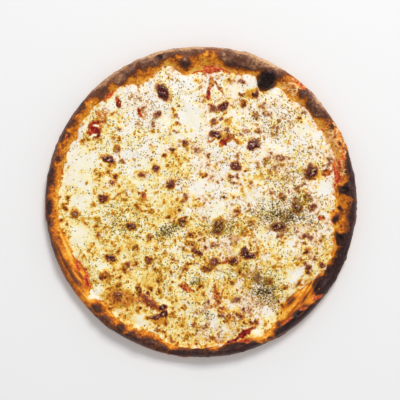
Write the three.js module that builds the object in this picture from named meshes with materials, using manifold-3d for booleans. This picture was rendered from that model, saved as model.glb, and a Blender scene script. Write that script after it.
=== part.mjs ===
// A whole round mozzarella pizza: a dough crust with a raised, blistered rim, a thin layer of
// tomato sauce and a sheet of melted, blistered cheese with flakes of dried oregano on it.
// Millimetres, +Z up. The origin is the middle of the flat underside.

import * as THREE from 'three';
import { mergeVertices } from 'three/addons/utils/BufferGeometryUtils.js';
import Module from 'manifold-3d';

// Driving dimensions
const PIZZA_RADIUS = 155;
const RIM_HEIGHT = 16.5;
const BASE_THICKNESS = 5;
const SAUCE_THICKNESS = 1;
const CHEESE_THICKNESS = 3;
const LAYER_GAP = 0.3;
const CHEESE_RADIUS = 142;
const FLAKE_LENGTH = 3.4;
const FLAKE_COUNT = 105;

// Rim: the outer wall's section, as an inset from the outline and a share of the rim's height
const WALL_SECTION = [
  { inset: 4, share: 0 },
  { inset: 1, share: 0.16 },
  { inset: 0, share: 0.42 },
  { inset: 1, share: 0.68 },
];
const CREST_INSET = 6.5;
const SHOULDER_DROP = 1.6;
const OUTLINE_DIP = 0.8;
const OUTLINE_LOBES = [6, 14];
const CREST_WAVES = [
  { lobes: 5, height: 0.9, turn: 0.6 },
  { lobes: 9, height: 0.7, turn: 2.1 },
  { lobes: 14, height: 0.5, turn: 4.0 },
];
// Stretches where the rim baked low and flat: angle in degrees, half width in degrees, drop.
const LOW_STRETCHES = [
  { at: 24, half: 10, drop: 3 },
  { at: 51, half: 4, drop: 2 },
  { at: 220, half: 5, drop: 2.5 },
];
// Large air bubbles that swelled out of the rim: place, size along and across the rim, height.
const RIM_BUBBLES = [
  { at: 61.5, radius: 139, across: 12, along: 9.5, height: 7.5 },
  { at: 97, radius: 139, across: 8.5, along: 9.5, height: 3.5 },
  { at: 325, radius: 144, across: 7, along: 9, height: 2 },
  { at: 4.5, radius: 145, across: 7, along: 9, height: 1.8 },
  { at: 39, radius: 148, across: 7, along: 14, height: 1.5 },
];

// Small blisters along the crest, unevenly spaced.
const BLISTER_COUNT = 26;
const RIM_BLISTERS = Array.from({ length: BLISTER_COUNT }, (_, i) => ({
  at: (i * 360) / BLISTER_COUNT + 5 * Math.sin(2.4 * i),
  radius: PIZZA_RADIUS - CREST_INSET - 1.5 + 2 * Math.sin(1.7 * i),
  across: 6.5 + 1.5 * Math.sin(2.2 * i),
  along: 10 + 3 * Math.sin(3.1 * i),
  height: 1.2 + 0.6 * Math.sin(4.3 * i),
}));

// Edge of the cheese: bays where the rim pushes it back, and runs (negative depth) up the rim.
const CHEESE_CLIMB = 5;
const EDGE_BAYS = [
  { at: 3.5, half: 6, depth: 9.5 },
  { at: 13.5, half: 5, depth: 5.5 },
  { at: 36, half: 12, depth: 3.6 },
  { at: 50, half: 5, depth: 6.5 },
  { at: 61.5, half: 4, depth: 17 },
  { at: 76.5, half: 9.5, depth: 10.5 },
  { at: 87.5, half: 4.5, depth: 9.5 },
  { at: 96, half: 5.5, depth: 15 },
  { at: 115.5, half: 8, depth: 11 },
  { at: 132, half: 4, depth: 4.2 },
  { at: 152.5, half: 3, depth: 3.8 },
  { at: 170, half: 14, depth: 1.4 },
  { at: 196.5, half: 4, depth: 5 },
  { at: 210.5, half: 8.5, depth: 8.6 },
  { at: 220.5, half: 2.2, depth: -6 },
  { at: 227, half: 3.5, depth: 3 },
  { at: 249.5, half: 5, depth: 5 },
  { at: 266, half: 14, depth: -3 },
  { at: 294.5, half: 4, depth: -3 },
  { at: 312, half: 6.5, depth: 13 },
  { at: 323, half: 7, depth: 7.5 },
  { at: 341, half: 6, depth: 2.6 },
  { at: 347, half: 3, depth: 5 },
  { at: 353.5, half: 4.2, depth: 13 },
];

// Sauce that shows past the cheese: a thin line all round, and wider smears on the rim's slope.
const SAUCE_LINE = 0.15;
const SAUCE_SMEARS = [
  { at: 12, half: 4, share: 0.8 },
  { at: 86, half: 6, share: 0.8 },
  { at: 131, half: 3, share: 0.7 },
  { at: 212, half: 6, share: 0.8 },
  { at: 284, half: 6, share: 0.6 },
];

// Browned blisters in the cheese: middle, length, width and turn in degrees.
const BLISTER_RISE = 0.16;
const CHEESE_BLISTERS = [
  { x: -38, y: 109, length: 18, width: 11, turn: -50 },
  { x: 52, y: 57, length: 12, width: 11, turn: 90 },
  { x: 109, y: 29, length: 15, width: 12, turn: 45 },
  { x: 23, y: 95, length: 10, width: 9, turn: 0 },
  { x: 15, y: 67, length: 12, width: 9, turn: 0 },
  { x: 26, y: 63, length: 13, width: 8, turn: 40 },
  { x: 34, y: 36, length: 11, width: 8, turn: -20 },
  { x: 54, y: 107, length: 9, width: 6, turn: 20 },
  { x: 77, y: -25, length: 14, width: 9, turn: 0 },
  { x: 46, y: -52, length: 15, width: 9, turn: -15 },
  { x: 17, y: -25, length: 17, width: 12, turn: 70 },
  { x: 33, y: -58, length: 10, width: 6, turn: 0 },
  { x: 12, y: -59, length: 11, width: 8, turn: 60 },
  { x: 95, y: -4, length: 11, width: 8, turn: 0 },
  { x: -30, y: 17, length: 11, width: 8, turn: 70 },
  { x: -45, y: 33, length: 9, width: 8, turn: 0 },
  { x: -43, y: 87, length: 8, width: 7, turn: 0 },
  { x: -92, y: 42, length: 16, width: 7, turn: -25 },
  { x: -97, y: 4, length: 11, width: 8, turn: 0 },
  { x: -19, y: -20, length: 11, width: 8, turn: 0 },
  { x: -69, y: -24, length: 10, width: 8, turn: -20 },
  { x: -90, y: -56, length: 10, width: 9, turn: 0 },
  { x: -82, y: -94, length: 22, width: 13, turn: -25 },
  { x: -48, y: -99, length: 30, width: 7, turn: -36 },
  { x: -42, y: -112, length: 15, width: 6, turn: 10 },
  { x: -126, y: -12, length: 11, width: 7, turn: 90 },
  { x: -52, y: -58, length: 9, width: 7, turn: 0 },
];

// Cheese sheet: rings from its foot on the slope to its middle, its lip, and its low swells
const SHEET_RINGS = [0.86, 0.7, 0.52, 0.34, 0.17];
const LIP_SHARE = 0.4;
const CLIMB_SHARE = 0.85;
const BROAD_SWELL = { height: 0.45, lengthX: 21, lengthY: 24, turnX: 0.7, turnY: -0.4 };
const CROSS_SWELL = { height: 0.3, length: 15, turn: 1.9 };

// Oregano flakes: thickness, how far their middle stands above the cheese, smallest share of full size
const FLAKE_THICKNESS = 1.2;
const FLAKE_LIFT = 0.1;
const SMALLEST_FLAKE = 0.75;
const FLAKE_SEED = 11;

// Smoothness of the round forms
const STEPS_AROUND = 132;
const DOME_SIDES = 9;
const DOME_BANDS = 4;
const MERGE_DISTANCE = 1e-4;

const FULL_TURN = 2 * Math.PI;
const wasm = await Module();
wasm.setup();

function degreesApart(a, b) {
  return THREE.MathUtils.euclideanModulo(a - b + 180, 360) - 180;
}

// A bell that is 1 at the middle of a stretch and fades over its half width.
function bell(degrees, stretch) {
  const away = degreesApart(degrees, stretch.at) / stretch.half;
  return Math.exp(-away * away);
}

function cheeseEdge(angle) {
  const degrees = THREE.MathUtils.radToDeg(angle);
  return EDGE_BAYS.reduce((radius, bay) => radius - bay.depth * bell(degrees, bay), CHEESE_RADIUS);
}

// The outline repeats every half turn, so its box stays centred on the origin.
function outlineRadius(angle) {
  const dips = OUTLINE_LOBES.map((lobes) => (OUTLINE_DIP / 2) * (1 - Math.cos(lobes * angle)) / 2);
  return PIZZA_RADIUS - dips[0] - dips[1];
}

function crestHeight(angle) {
  const degrees = THREE.MathUtils.radToDeg(angle);
  const wave = CREST_WAVES.reduce((sum, w) => sum + w.height * Math.sin(w.lobes * angle + w.turn), 0);
  const drop = LOW_STRETCHES.reduce((sum, low) => sum + low.drop * bell(degrees, low), 0);
  return RIM_HEIGHT + wave - drop;
}

function bubbleHeight(radius, angle) {
  const degrees = THREE.MathUtils.radToDeg(angle);
  return [...RIM_BUBBLES, ...RIM_BLISTERS].reduce((sum, bubble) => {
    const along = radius * THREE.MathUtils.degToRad(degreesApart(degrees, bubble.at)) / bubble.along;
    const across = (radius - bubble.radius) / bubble.across;
    const inside = Math.max(0, 1 - along * along - across * across);
    return sum + bubble.height * Math.sqrt(inside);
  }, 0);
}

// Height of the dough's upper surface from the flat bed, up the slope, to the crest.
function doughHeight(radius, angle) {
  const foot = cheeseEdge(angle) - CHEESE_CLIMB;
  const crest = outlineRadius(angle) - CREST_INSET;
  const rise = THREE.MathUtils.smoothstep(radius, foot, crest) * (crestHeight(angle) - BASE_THICKNESS);
  return BASE_THICKNESS + rise + bubbleHeight(radius, angle);
}

// Points up the slope that every layer shares, so that the layers stay parallel.
function slopePoint(name, angle) {
  const edge = cheeseEdge(angle);
  const crest = outlineRadius(angle) - CREST_INSET;
  const radii = {
    foot: edge - CHEESE_CLIMB,
    climb: edge - CHEESE_CLIMB / 2,
    edge,
    low: THREE.MathUtils.lerp(edge, crest, 1 / 3),
    high: THREE.MathUtils.lerp(edge, crest, 2 / 3),
    crest,
  };
  return { r: radii[name], z: doughHeight(radii[name], angle) };
}

function lifted(point, height) {
  return { r: point.r, z: point.z + height };
}

function between(a, b, share) {
  return { r: THREE.MathUtils.lerp(a.r, b.r, share), z: THREE.MathUtils.lerp(a.z, b.z, share) };
}

// Deletes all but the positions, joins equal points and drops triangles that the joining emptied.
function closedGeometry(geometry) {
  geometry.deleteAttribute('normal');
  geometry.deleteAttribute('uv');
  const merged = mergeVertices(geometry, MERGE_DISTANCE);
  const corners = merged.getIndex().array;
  const kept = [];
  for (let i = 0; i < corners.length; i += 3) {
    const [a, b, c] = corners.slice(i, i + 3);
    if (a !== b && b !== c && c !== a) kept.push(a, b, c);
  }
  merged.setIndex(kept);
  return merged;
}

// A closed skin turned about +Z from rings that run from the underside's middle to the top's.
// Each quad is split from its outer ring to its inner one, so that stacked layers fold alike.
function ringSkin(rings) {
  const unitProfile = rings.map((ring, row) => new THREE.Vector2(1, row));
  const skin = new THREE.LatheGeometry(unitProfile, STEPS_AROUND);
  const position = skin.getAttribute('position');
  const corners = [];
  for (let i = 0; i < position.count; i += 1) {
    const row = i % rings.length;
    const step = Math.floor(i / rings.length);
    const angle = ((step % STEPS_AROUND) / STEPS_AROUND) * FULL_TURN;
    const { r, z } = rings[row](angle);
    position.setXYZ(i, r * Math.cos(angle), r * Math.sin(angle), z);
    if (step === STEPS_AROUND || row === rings.length - 1) continue;
    const next = i + rings.length;
    const widening = rings[row + 1](angle).r > r;
    if (widening) corners.push(i, next, next + 1, i, next + 1, i + 1);
    else corners.push(i, next, i + 1, next + 1, i + 1, next);
  }
  skin.setIndex(corners);
  return closedGeometry(skin);
}

function toSolid(geometry) {
  const vertProperties = new Float32Array(geometry.getAttribute('position').array);
  const triVerts = new Uint32Array(geometry.getIndex().array);
  return new wasm.Manifold(new wasm.Mesh({ numProp: 3, vertProperties, triVerts }));
}

function toGeometry(solid) {
  const mesh = solid.getMesh();
  const geometry = new THREE.BufferGeometry();
  geometry.setAttribute('position', new THREE.BufferAttribute(new Float32Array(mesh.vertProperties), 3));
  geometry.setIndex(Array.from(mesh.triVerts));
  return geometry;
}

// Crust: flat underside, rounded outer wall, crest, inner slope and the bed under the toppings.
function crustGeometry() {
  const wall = ({ inset, share }) => (angle) => ({ r: outlineRadius(angle) - inset, z: RIM_HEIGHT * share });
  const shoulder = (angle) => {
    const r = outlineRadius(angle) - CREST_INSET / 2;
    return { r, z: crestHeight(angle) - SHOULDER_DROP + bubbleHeight(r, angle) };
  };
  return ringSkin([
    () => ({ r: 0, z: 0 }),
    ...WALL_SECTION.map(wall),
    shoulder,
    (angle) => slopePoint('crest', angle),
    (angle) => slopePoint('high', angle),
    (angle) => slopePoint('low', angle),
    (angle) => slopePoint('edge', angle),
    (angle) => slopePoint('climb', angle),
    (angle) => slopePoint('foot', angle),
    () => ({ r: 0, z: BASE_THICKNESS }),
  ]);
}

// How far up the slope the sauce shows, as a share of the way to the next point.
function sauceReach(angle) {
  const degrees = THREE.MathUtils.radToDeg(angle);
  const shares = SAUCE_SMEARS.map((smear) => smear.share * bell(degrees, smear));
  return Math.max(SAUCE_LINE, ...shares);
}

// Sauce: a thin layer on the bed that ends in smears on the slope.
function sauceGeometry() {
  const under = LAYER_GAP;
  const over = LAYER_GAP + SAUCE_THICKNESS;
  const onSlope = (name, height) => (angle) => lifted(slopePoint(name, angle), height);
  const smearEnd = (height) => (angle) => {
    const end = between(slopePoint('edge', angle), slopePoint('low', angle), sauceReach(angle));
    return lifted(end, height);
  };
  return ringSkin([
    () => ({ r: 0, z: BASE_THICKNESS + under }),
    onSlope('foot', under),
    onSlope('climb', under),
    onSlope('edge', under),
    smearEnd(2 * under),
    smearEnd(over),
    onSlope('edge', over),
    onSlope('climb', over),
    onSlope('foot', over),
    () => ({ r: 0, z: BASE_THICKNESS + over }),
  ]);
}

// Low swells of the melted sheet.
function swell(x, y) {
  const { height, lengthX, lengthY, turnX, turnY } = BROAD_SWELL;
  const broad = height * Math.sin(x / lengthX + turnX) * Math.sin(y / lengthY + turnY);
  const cross = CROSS_SWELL.height * Math.sin((x + y) / CROSS_SWELL.length + CROSS_SWELL.turn);
  return broad + cross;
}

// Cheese sheet without its toppings: it follows the bed, climbs the slope and ends in a round lip.
function cheeseSheetGeometry() {
  const under = 2 * LAYER_GAP + SAUCE_THICKNESS;
  const over = under + CHEESE_THICKNESS;
  const onSlope = (name, height) => (angle) => lifted(slopePoint(name, angle), height);
  const inside = (share) => (angle) => {
    const r = share * slopePoint('foot', angle).r;
    const z = BASE_THICKNESS + over + swell(r * Math.cos(angle), r * Math.sin(angle));
    return { r, z };
  };
  return ringSkin([
    () => ({ r: 0, z: BASE_THICKNESS + under }),
    onSlope('foot', under),
    onSlope('climb', under),
    onSlope('edge', under),
    onSlope('edge', under + CHEESE_THICKNESS * LIP_SHARE),
    onSlope('climb', under + CHEESE_THICKNESS * CLIMB_SHARE),
    onSlope('foot', over),
    ...SHEET_RINGS.map(inside),
    () => ({ r: 0, z: BASE_THICKNESS + over + swell(0, 0) }),
  ]);
}

// Height of a sheet's upper side at a place, found by looking straight down on it.
function topOf(sheet) {
  const mesh = new THREE.Mesh(sheet, new THREE.MeshBasicMaterial());
  const down = new THREE.Vector3(0, 0, -1);
  const ray = new THREE.Raycaster();
  return (x, y) => {
    ray.set(new THREE.Vector3(x, y, 3 * RIM_HEIGHT), down);
    return ray.intersectObject(mesh)[0].point.z;
  };
}

// Repeatable random draws between 0 and 1.
function seededDraws(seed) {
  let state = seed;
  return () => {
    state = (Math.imul(state, 1664525) + 1013904223) >>> 0;
    return state / 2 ** 32;
  };
}

function blisterGeometry(blister, height) {
  const dome = new THREE.SphereGeometry(1, DOME_SIDES, DOME_BANDS);
  dome.rotateX(Math.PI / 2);
  dome.scale(blister.length / 2, blister.width / 2, blister.width * BLISTER_RISE);
  dome.rotateZ(THREE.MathUtils.degToRad(blister.turn));
  dome.translate(blister.x, blister.y, height);
  return closedGeometry(dome);
}

function nearBlister(x, y) {
  return CHEESE_BLISTERS.some((blister) => {
    const away = Math.hypot(x - blister.x, y - blister.y);
    return away < blister.length / 2 + FLAKE_LENGTH;
  });
}

// Flakes of oregano, spread evenly over the cheese on a sunflower spiral with small random shifts.
function flakeGeometries(heightAt) {
  const draw = seededDraws(FLAKE_SEED);
  const goldenAngle = Math.PI * (3 - Math.sqrt(5));
  const field = CHEESE_RADIUS - CHEESE_CLIMB;
  const flakes = [];
  for (let i = 0; i < FLAKE_COUNT; i += 1) {
    const r = field * Math.sqrt((i + 0.5) / FLAKE_COUNT);
    const x = r * Math.cos(i * goldenAngle) + FLAKE_LENGTH * (draw() - 0.5);
    const y = r * Math.sin(i * goldenAngle) + FLAKE_LENGTH * (draw() - 0.5);
    const size = THREE.MathUtils.lerp(SMALLEST_FLAKE, 1, draw());
    const turn = FULL_TURN * draw();
    const room = cheeseEdge(Math.atan2(y, x)) - 2 * CHEESE_CLIMB;
    if (Math.hypot(x, y) > room || nearBlister(x, y)) continue;
    const flake = new THREE.IcosahedronGeometry(1, 0);
    flake.scale(size * FLAKE_LENGTH / 2, size * FLAKE_LENGTH / 4, FLAKE_THICKNESS / 2);
    flake.rotateZ(turn);
    flake.translate(x, y, heightAt(x, y) + FLAKE_LIFT);
    flakes.push(closedGeometry(flake));
  }
  return flakes;
}

// Cheese with its blisters and the largest flakes fused on.
function cheeseGeometry() {
  const sheet = cheeseSheetGeometry();
  const heightAt = topOf(sheet);
  const blisters = CHEESE_BLISTERS.map((blister) => blisterGeometry(blister, heightAt(blister.x, blister.y)));
  const toppings = [...blisters, ...flakeGeometries(heightAt)];
  const fused = toppings.reduce((solid, topping) => solid.add(toSolid(topping)), toSolid(sheet));
  return toGeometry(fused);
}

function layer(name, geometry, colour, roughness) {
  const material = new THREE.MeshStandardMaterial({ color: colour, roughness, metalness: 0 });
  const mesh = new THREE.Mesh(geometry, material);
  mesh.name = name;
  return mesh;
}

const pizza = new THREE.Group();
pizza.add(layer('crust', crustGeometry(), '#8a5528', 0.75));
pizza.add(layer('sauce', sauceGeometry(), '#b5371f', 0.35));
pizza.add(layer('cheese', cheeseGeometry(), '#f2e2b4', 0.45));

export default pizza;
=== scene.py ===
# The look of a whole mozzarella pizza: crust, tomato sauce, browned cheese and dried oregano.

import math

import bpy
import numpy as np
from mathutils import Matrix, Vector


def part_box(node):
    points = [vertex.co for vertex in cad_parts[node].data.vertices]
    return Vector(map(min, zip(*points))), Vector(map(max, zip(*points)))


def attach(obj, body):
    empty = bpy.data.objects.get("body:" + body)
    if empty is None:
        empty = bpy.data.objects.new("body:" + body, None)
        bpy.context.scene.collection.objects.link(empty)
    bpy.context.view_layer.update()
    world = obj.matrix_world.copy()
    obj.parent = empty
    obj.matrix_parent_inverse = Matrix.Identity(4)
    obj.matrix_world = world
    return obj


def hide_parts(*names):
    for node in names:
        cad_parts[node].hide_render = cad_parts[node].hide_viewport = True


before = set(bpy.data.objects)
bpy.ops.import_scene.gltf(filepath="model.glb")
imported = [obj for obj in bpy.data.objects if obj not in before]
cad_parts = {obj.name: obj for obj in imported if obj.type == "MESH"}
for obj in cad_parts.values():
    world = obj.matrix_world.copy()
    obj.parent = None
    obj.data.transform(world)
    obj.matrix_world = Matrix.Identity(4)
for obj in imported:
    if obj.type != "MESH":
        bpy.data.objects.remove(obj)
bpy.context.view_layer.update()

# Sizes in millimetres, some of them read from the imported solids
MM = 0.001
PIZZA_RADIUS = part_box("crust")[1].x / MM
LAYER_GAP = 0.3
BED_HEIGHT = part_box("sauce")[0].z / MM - LAYER_GAP
CHEESE_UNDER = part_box("cheese")[0].z / MM - BED_HEIGHT
SAUCE_THICKNESS = CHEESE_UNDER - 2 * LAYER_GAP
CHEESE_THICKNESS = 3
CHEESE_RADIUS = 142
CHEESE_CLIMB = 5
RIM_HEIGHT = 16.5
CREST_INSET = 6.5
SHOULDER_DROP = 1.6
FOOT_INSET = 10
# Where the crust's top passes below the cheese, and where its wall's curve is steered past the crest
SLOPE_TUCK = 3
PAST_CREST = 3

# How finely the surfaces are divided
CRUST_STEPS = 900
WALL_ROWS = 7
SLOPE_ROWS = 26
SAUCE_STEPS = 600
SAUCE_ROWS = 12
CHEESE_SIDE = 296
# Rings on the flat middles, as shares of the radius
UNDERSIDE_SHARES = (0.1, 0.4, 0.7, 0.9, 1)
BED_SHARES = (0.9, 0.6, 0.3)
SAUCE_SHARES = (0.2, 0.5, 0.8)

# Outer wall of the rim: inset from the outline and share of the rim's height
WALL_SECTION = [(FOOT_INSET, 0), (4, 0), (1, 0.16), (0, 0.42), (1, 0.68)]
OUTLINE_DIP = 0.8
OUTLINE_LOBES = (6, 14)
# Waves of the crest: lobes, height, turn in radians
CREST_WAVES = [(5, 0.9, 0.6), (9, 0.7, 2.1), (14, 0.5, 4.0)]
# Stretches where the rim baked low and flat: angle and half width in degrees, drop
LOW_STRETCHES = [(24, 10, 3), (51, 4, 2), (220, 5, 2.5)]
# Large air bubbles in the rim: angle, radius, half sizes across and along the rim, height
RIM_BUBBLES = [
    (61.5, 139, 12, 9.5, 7.5),
    (97, 139, 8.5, 9.5, 3.5),
    (325, 144, 7, 9, 2),
    (4.5, 145, 7, 9, 1.8),
    (39, 148, 7, 14, 1.5),
]
# Small bubbles all along the crest: middle, swing and pace of their shift, radius, half sizes and height
SMALL_BUBBLE_COUNT = 26
SMALL_BUBBLE_INSET = CREST_INSET + 1.5
SMALL_BUBBLES = [
    (0, 5, 2.4), (PIZZA_RADIUS - SMALL_BUBBLE_INSET, 2, 1.7), (6.5, 1.5, 2.2), (10, 3, 3.1), (1.2, 0.6, 4.3),
]
BUBBLE_ROUNDNESS = 0.7

# Edge of the cheese: angle and half width of a bay in degrees, depth, negative where it runs up the rim
EDGE_BAYS = [
    (3.5, 6, 9.5), (13.5, 5, 5.5), (36, 12, 3.6), (50, 5, 6.5), (61.5, 4, 17), (76.5, 9.5, 10.5),
    (87.5, 4.5, 9.5), (96, 5.5, 15), (115.5, 8, 11), (132, 4, 4.2), (152.5, 3, 3.8), (170, 14, 1.4),
    (196.5, 4, 5), (210.5, 8.5, 8.6), (220.5, 2.2, -6), (227, 3.5, 3), (249.5, 5, 5), (266, 14, -3),
    (294.5, 4, -3), (312, 6.5, 13), (323, 7, 7.5), (341, 6, 2.6), (347, 3, 5), (353.5, 4.2, 13),
]
# Rounded lip of the cheese: height, reach, pushes outwards with drops, and where its underside starts
LIP_HEIGHT = 0.9
LIP_REACH = 2.6
LIP_SECTION = [(0.45, 0.35), (0.6, 0.9), (0.4, 1.6), (-1.5, 2.2)]
LIP_UNDERSIDE = CHEESE_CLIMB + 1
# Low swells of the cheese: height, length and turn in radians along x and along y, or along both at once
BROAD_SWELL = (0.45, (21, 0.7), (24, -0.4))
CROSS_SWELL = (0.3, (15, 1.9))
# Sauce that shows past the cheese: angle and half width in degrees, share of its highest climb
SAUCE_SMEARS = [(12, 4, 0.8), (86, 6, 0.8), (131, 3, 0.7), (214, 5, 0.4), (284, 6, 0.6)]
SAUCE_LEAST = 0.04
# Highest climb, as a share of the slope, then the thinning at its end and the gap under the sauce
SAUCE_HIGHEST = 1 / 3
SAUCE_TAPER = 3
SAUCE_GAP = 0.2 * LAYER_GAP

# Charred stretches of the rim: angle and half width in degrees, reach inwards from the outline
CHAR_RING = 3.5
CHAR_SOFTNESS = 3.5
CHAR_PATCHES = [
    (5, 3, 19), (14, 9, 8), (39.3, 6, 17), (62, 6, 12), (75, 9, 17.5), (94, 6, 11), (112, 12, 12),
    (123.5, 3.5, 14.5), (131.5, 4, 13), (142, 3, 9), (149, 2.5, 10), (154.5, 2.5, 9), (170.5, 4, 8.5),
    (182, 3, 8.5), (232, 3, 9.5), (243.5, 3.5, 10.5), (250.5, 6, 12.5), (267, 9, 10.8),
    (283.5, 8, 12.5), (291, 5, 11.5), (301, 7, 13), (311, 7, 12), (325.5, 5, 16.5), (333, 6, 13.5),
    (340, 6, 11.5), (345.5, 3, 17), (355, 7, 9),
]
# Stretches without char: angle and half width in degrees
BARE_STRETCHES = [(26, 7.5), (51, 4.5), (220, 2.5), (295.5, 3.5)]
BARE_SETBACK = 3
# Stretches that browned more than they charred: angle and half width in degrees, missing share of char
BROWN_STRETCHES = [
    (57, 3, 0.4), (85.5, 3.5, 0.55), (140, 6, 0.3), (153, 6, 0.25), (212, 9, 0.55), (231, 7, 0.4),
    (251.5, 5.5, 0.25),
]
# Where the rim is darkest, painted shade on the side that faces away from the light: angle and half width in
# degrees
DARKEST_STRETCH = (325, 42)
# Dark spots on the rim: angle, radius, length along the rim, width
RIM_SPOTS = [
    (22.5, 149, 5, 4), (30, 150, 6, 4), (47, 147, 7, 10), (96.3, 138.5, 12, 14), (153, 146, 5, 4),
    (163.5, 147, 9, 6), (187, 151, 7, 4), (225.5, 146.5, 13, 9), (232, 149, 9, 7), (237.5, 147, 11, 8),
    (352.5, 135, 9, 5), (357.5, 138, 6, 4),
]
# Burnt black skin: angle, radius, length along the rim, width
BURNT_SPOTS = [(61.8, 137, 20, 23), (106, 149, 6, 6), (346, 142, 6, 9), (5, 143, 8, 10)]
# Greyish brown rim with a tan outer shoulder, partly flour and partly painted sheen along the top of the rim
# that faces the light: angle and half width in degrees
PALE_SHOULDERS = [(72, 18), (102, 16), (39.5, 6), (64, 4), (128, 9)]
# Red sauce baked onto the rim: angle, radius, length along the rim, width, turn in degrees
RIM_SMEARS = [
    (10, 139, 18, 7, 0), (15.5, 141, 18, 6, 0), (17.5, 147, 9, 5, 0), (22, 139, 14, 5, 0),
    (30, 140.5, 12, 3, 0), (50, 152, 20, 5, 0), (86, 134, 24, 6, 4), (131.5, 140, 7, 6, 0),
    (154, 147, 5, 3, 0), (207, 137, 18, 4, -8), (215.5, 138, 18, 7, -18), (286, 142, 26, 5, -18),
    (306, 145, 20, 3.5, 5), (314, 146, 12, 3.5, -20), (320.3, 148.3, 16, 5, -18),
]
# Stretches where that sauce is darkest: angle and half width in degrees
DEEP_SMEARS = [(215, 6), (288, 8)]
DEEP_SMEAR = 0.6
# Slopes covered by pulled strings of browned cheese: angle and half width in degrees
STRINGY_SLOPES = [(208, 14), (315, 11)]
# Slopes of another tone: angle and half width in degrees, how much browner
TONED_SLOPES = [(208, 14, -0.05), (315, 11, 0.04), (88, 8, -0.13), (240, 18, 0.06)]
# Slopes flecked with pale baked cheese: angle and half width in degrees
FLECKED_SLOPES = [(14, 5), (26.5, 6.5), (51, 5)]

# Browned blisters in the cheese: middle, length, width, turn in degrees, darkness
BLISTERS = [
    (-38, 109, 18, 11, -50, 1.0), (52, 57, 12, 11, 90, 0.95), (109, 29, 15, 12, 45, 0.85),
    (23, 95, 10, 9, 0, 0.75), (15, 67, 12, 9, 0, 0.8), (26, 63, 13, 8, 40, 0.35),
    (34, 36, 11, 8, -20, 0.65), (54, 107, 9, 6, 20, 0.7), (77, -25, 14, 9, 0, 0.8),
    (46, -52, 15, 9, -15, 0.95), (17, -25, 17, 12, 70, 0.7), (33, -59, 11, 8, 0, 0.7),
    (13, -60, 12, 9, 60, 0.55), (6, -66.5, 12, 5, -25, 0.5), (95, -4.7, 13, 9, -70, 0.8),
    (110, -5.5, 10, 6, 30, 0.6), (-30, 17, 11, 8, 70, 0.65), (-45, 33, 9, 8, 0, 0.6),
    (-43, 87, 8, 7, 0, 0.5), (-92, 42, 16, 7, -25, 0.75), (-97, 4, 11, 8, 0, 0.65),
    (-19, -20, 11, 8, 0, 0.65), (-69, -24, 10, 8, -20, 0.6), (-90, -56, 10, 9, 0, 0.7),
    (-82, -94, 12, 10, -25, 0.5), (-61.5, -88, 16, 6, -80, 0.45), (-51, -99.5, 27, 6, -37, 0.45),
    (-45, -114, 20, 6.5, 8, 0.62), (-37, -111, 7, 8, 0, 0.85), (-38.5, -104.5, 8, 6, 0, 0.95),
    (-126, -12, 11, 7, 90, 0.55), (-52, -58, 9, 7, 0, 0.5), (-27.5, 52, 6.5, 6, 0, 0.75),
    (-16.5, 59, 8, 6, -50, 0.5), (-36, 45.5, 6, 5, 0, 0.6), (13, 80, 7.5, 6.5, 0, 0.45),
    (12.5, 93.5, 11, 8, -35, 0.45), (-59, 27, 7, 5.5, -20, 0.5), (-3, -50, 12, 6, -25, 0.65),
    (42, -47, 5.5, 4, 0, 0.8), (106, -34, 12, 6, 0, 0.45), (106, -64.5, 7.5, 5, 10, 0.5),
    (120, -62.5, 7.5, 6, 0, 0.6),
]
BLISTER_RISE = 0.16
# Cupped top of a blister: roundness, depth and width of its hollow
CUP = (0.6, 0.45, 0.4)
# Flat browned marks: middle, size, darkness, which is golden up to the golden mark
SCORCHES = [
    (-104, 73, 30, 0.12), (-3, 50, 7, 0.5), (-83, 53, 8, 0.55), (-88, 18, 8, 0.5), (-58, 4, 8, 0.55),
    (-131, 5, 5, 0.65), (35, 60, 8, 0.5), (65, 42, 8, 0.55), (77, 44, 9, 0.55), (54, 86, 9, 0.5),
    (56, 71, 9, 0.5), (78, 81, 5, 0.55), (41, 120, 8, 0.55), (4, 26, 7, 0.5), (127, 44, 5, 0.6),
    (80, 6, 9, 0.6), (105, 6, 8, 0.65), (-14, -41, 9, 0.55), (-65, -46, 10, 0.55), (-95, -74, 15, 0.55),
    (-14, -134, 8, 0.6), (43, -31, 9, 0.55), (48, -41, 5, 0.65), (6, -67, 11, 0.6), (68, -79, 9, 0.55),
    (55, -75, 13, 0.45), (20, -112, 8, 0.5), (27, -113, 9, 0.5), (33, -116, 7, 0.5), (25, -118, 6, 0.5),
    (11, -134, 8, 0.45), (41, 98, 8, 0.55), (65, 88, 7, 0.5), (56, 37, 8, 0.5), (21, 82, 6, 0.55),
    (26, 72, 7, 0.6), (40, 107, 7, 0.6), (-25, 86, 7, 0.55), (-25, 78, 6, 0.5), (98, 83, 6, 0.6),
    (-107, -2, 6, 0.55), (-135, -6, 9, 0.65), (-113, 20, 5, 0.55), (-77, 40, 7, 0.5),
    (-49, -9, 7, 0.55), (-103, -17, 9, 0.45), (49, 20, 6, 0.55), (34, -9, 6, 0.55), (50, -21, 7, 0.65),
    (71, 10, 8, 0.45), (-75, -62, 9, 0.55), (-87, -41, 7, 0.5), (-51, -35, 8, 0.6), (12, -43, 8, 0.5),
    (-29, -112, 8, 0.5), (-17, -104, 7, 0.5), (-62, -107, 8, 0.5), (-52, -91, 6, 0.6),
    (-42, -90, 5, 0.55), (-6, -123, 5, 0.65), (33, -97, 8, 0.45), (-63, 77, 5, 0.5), (-87, 68, 5, 0.5),
]
SCORCH_RISE = 0.09
SCORCH_WIDEST_RISE = 9
# Paler middle of a mark: how much paler, width
PALER_MIDDLE = (0.35, 0.4)
GOLDEN_MARK = 0.35
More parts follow.
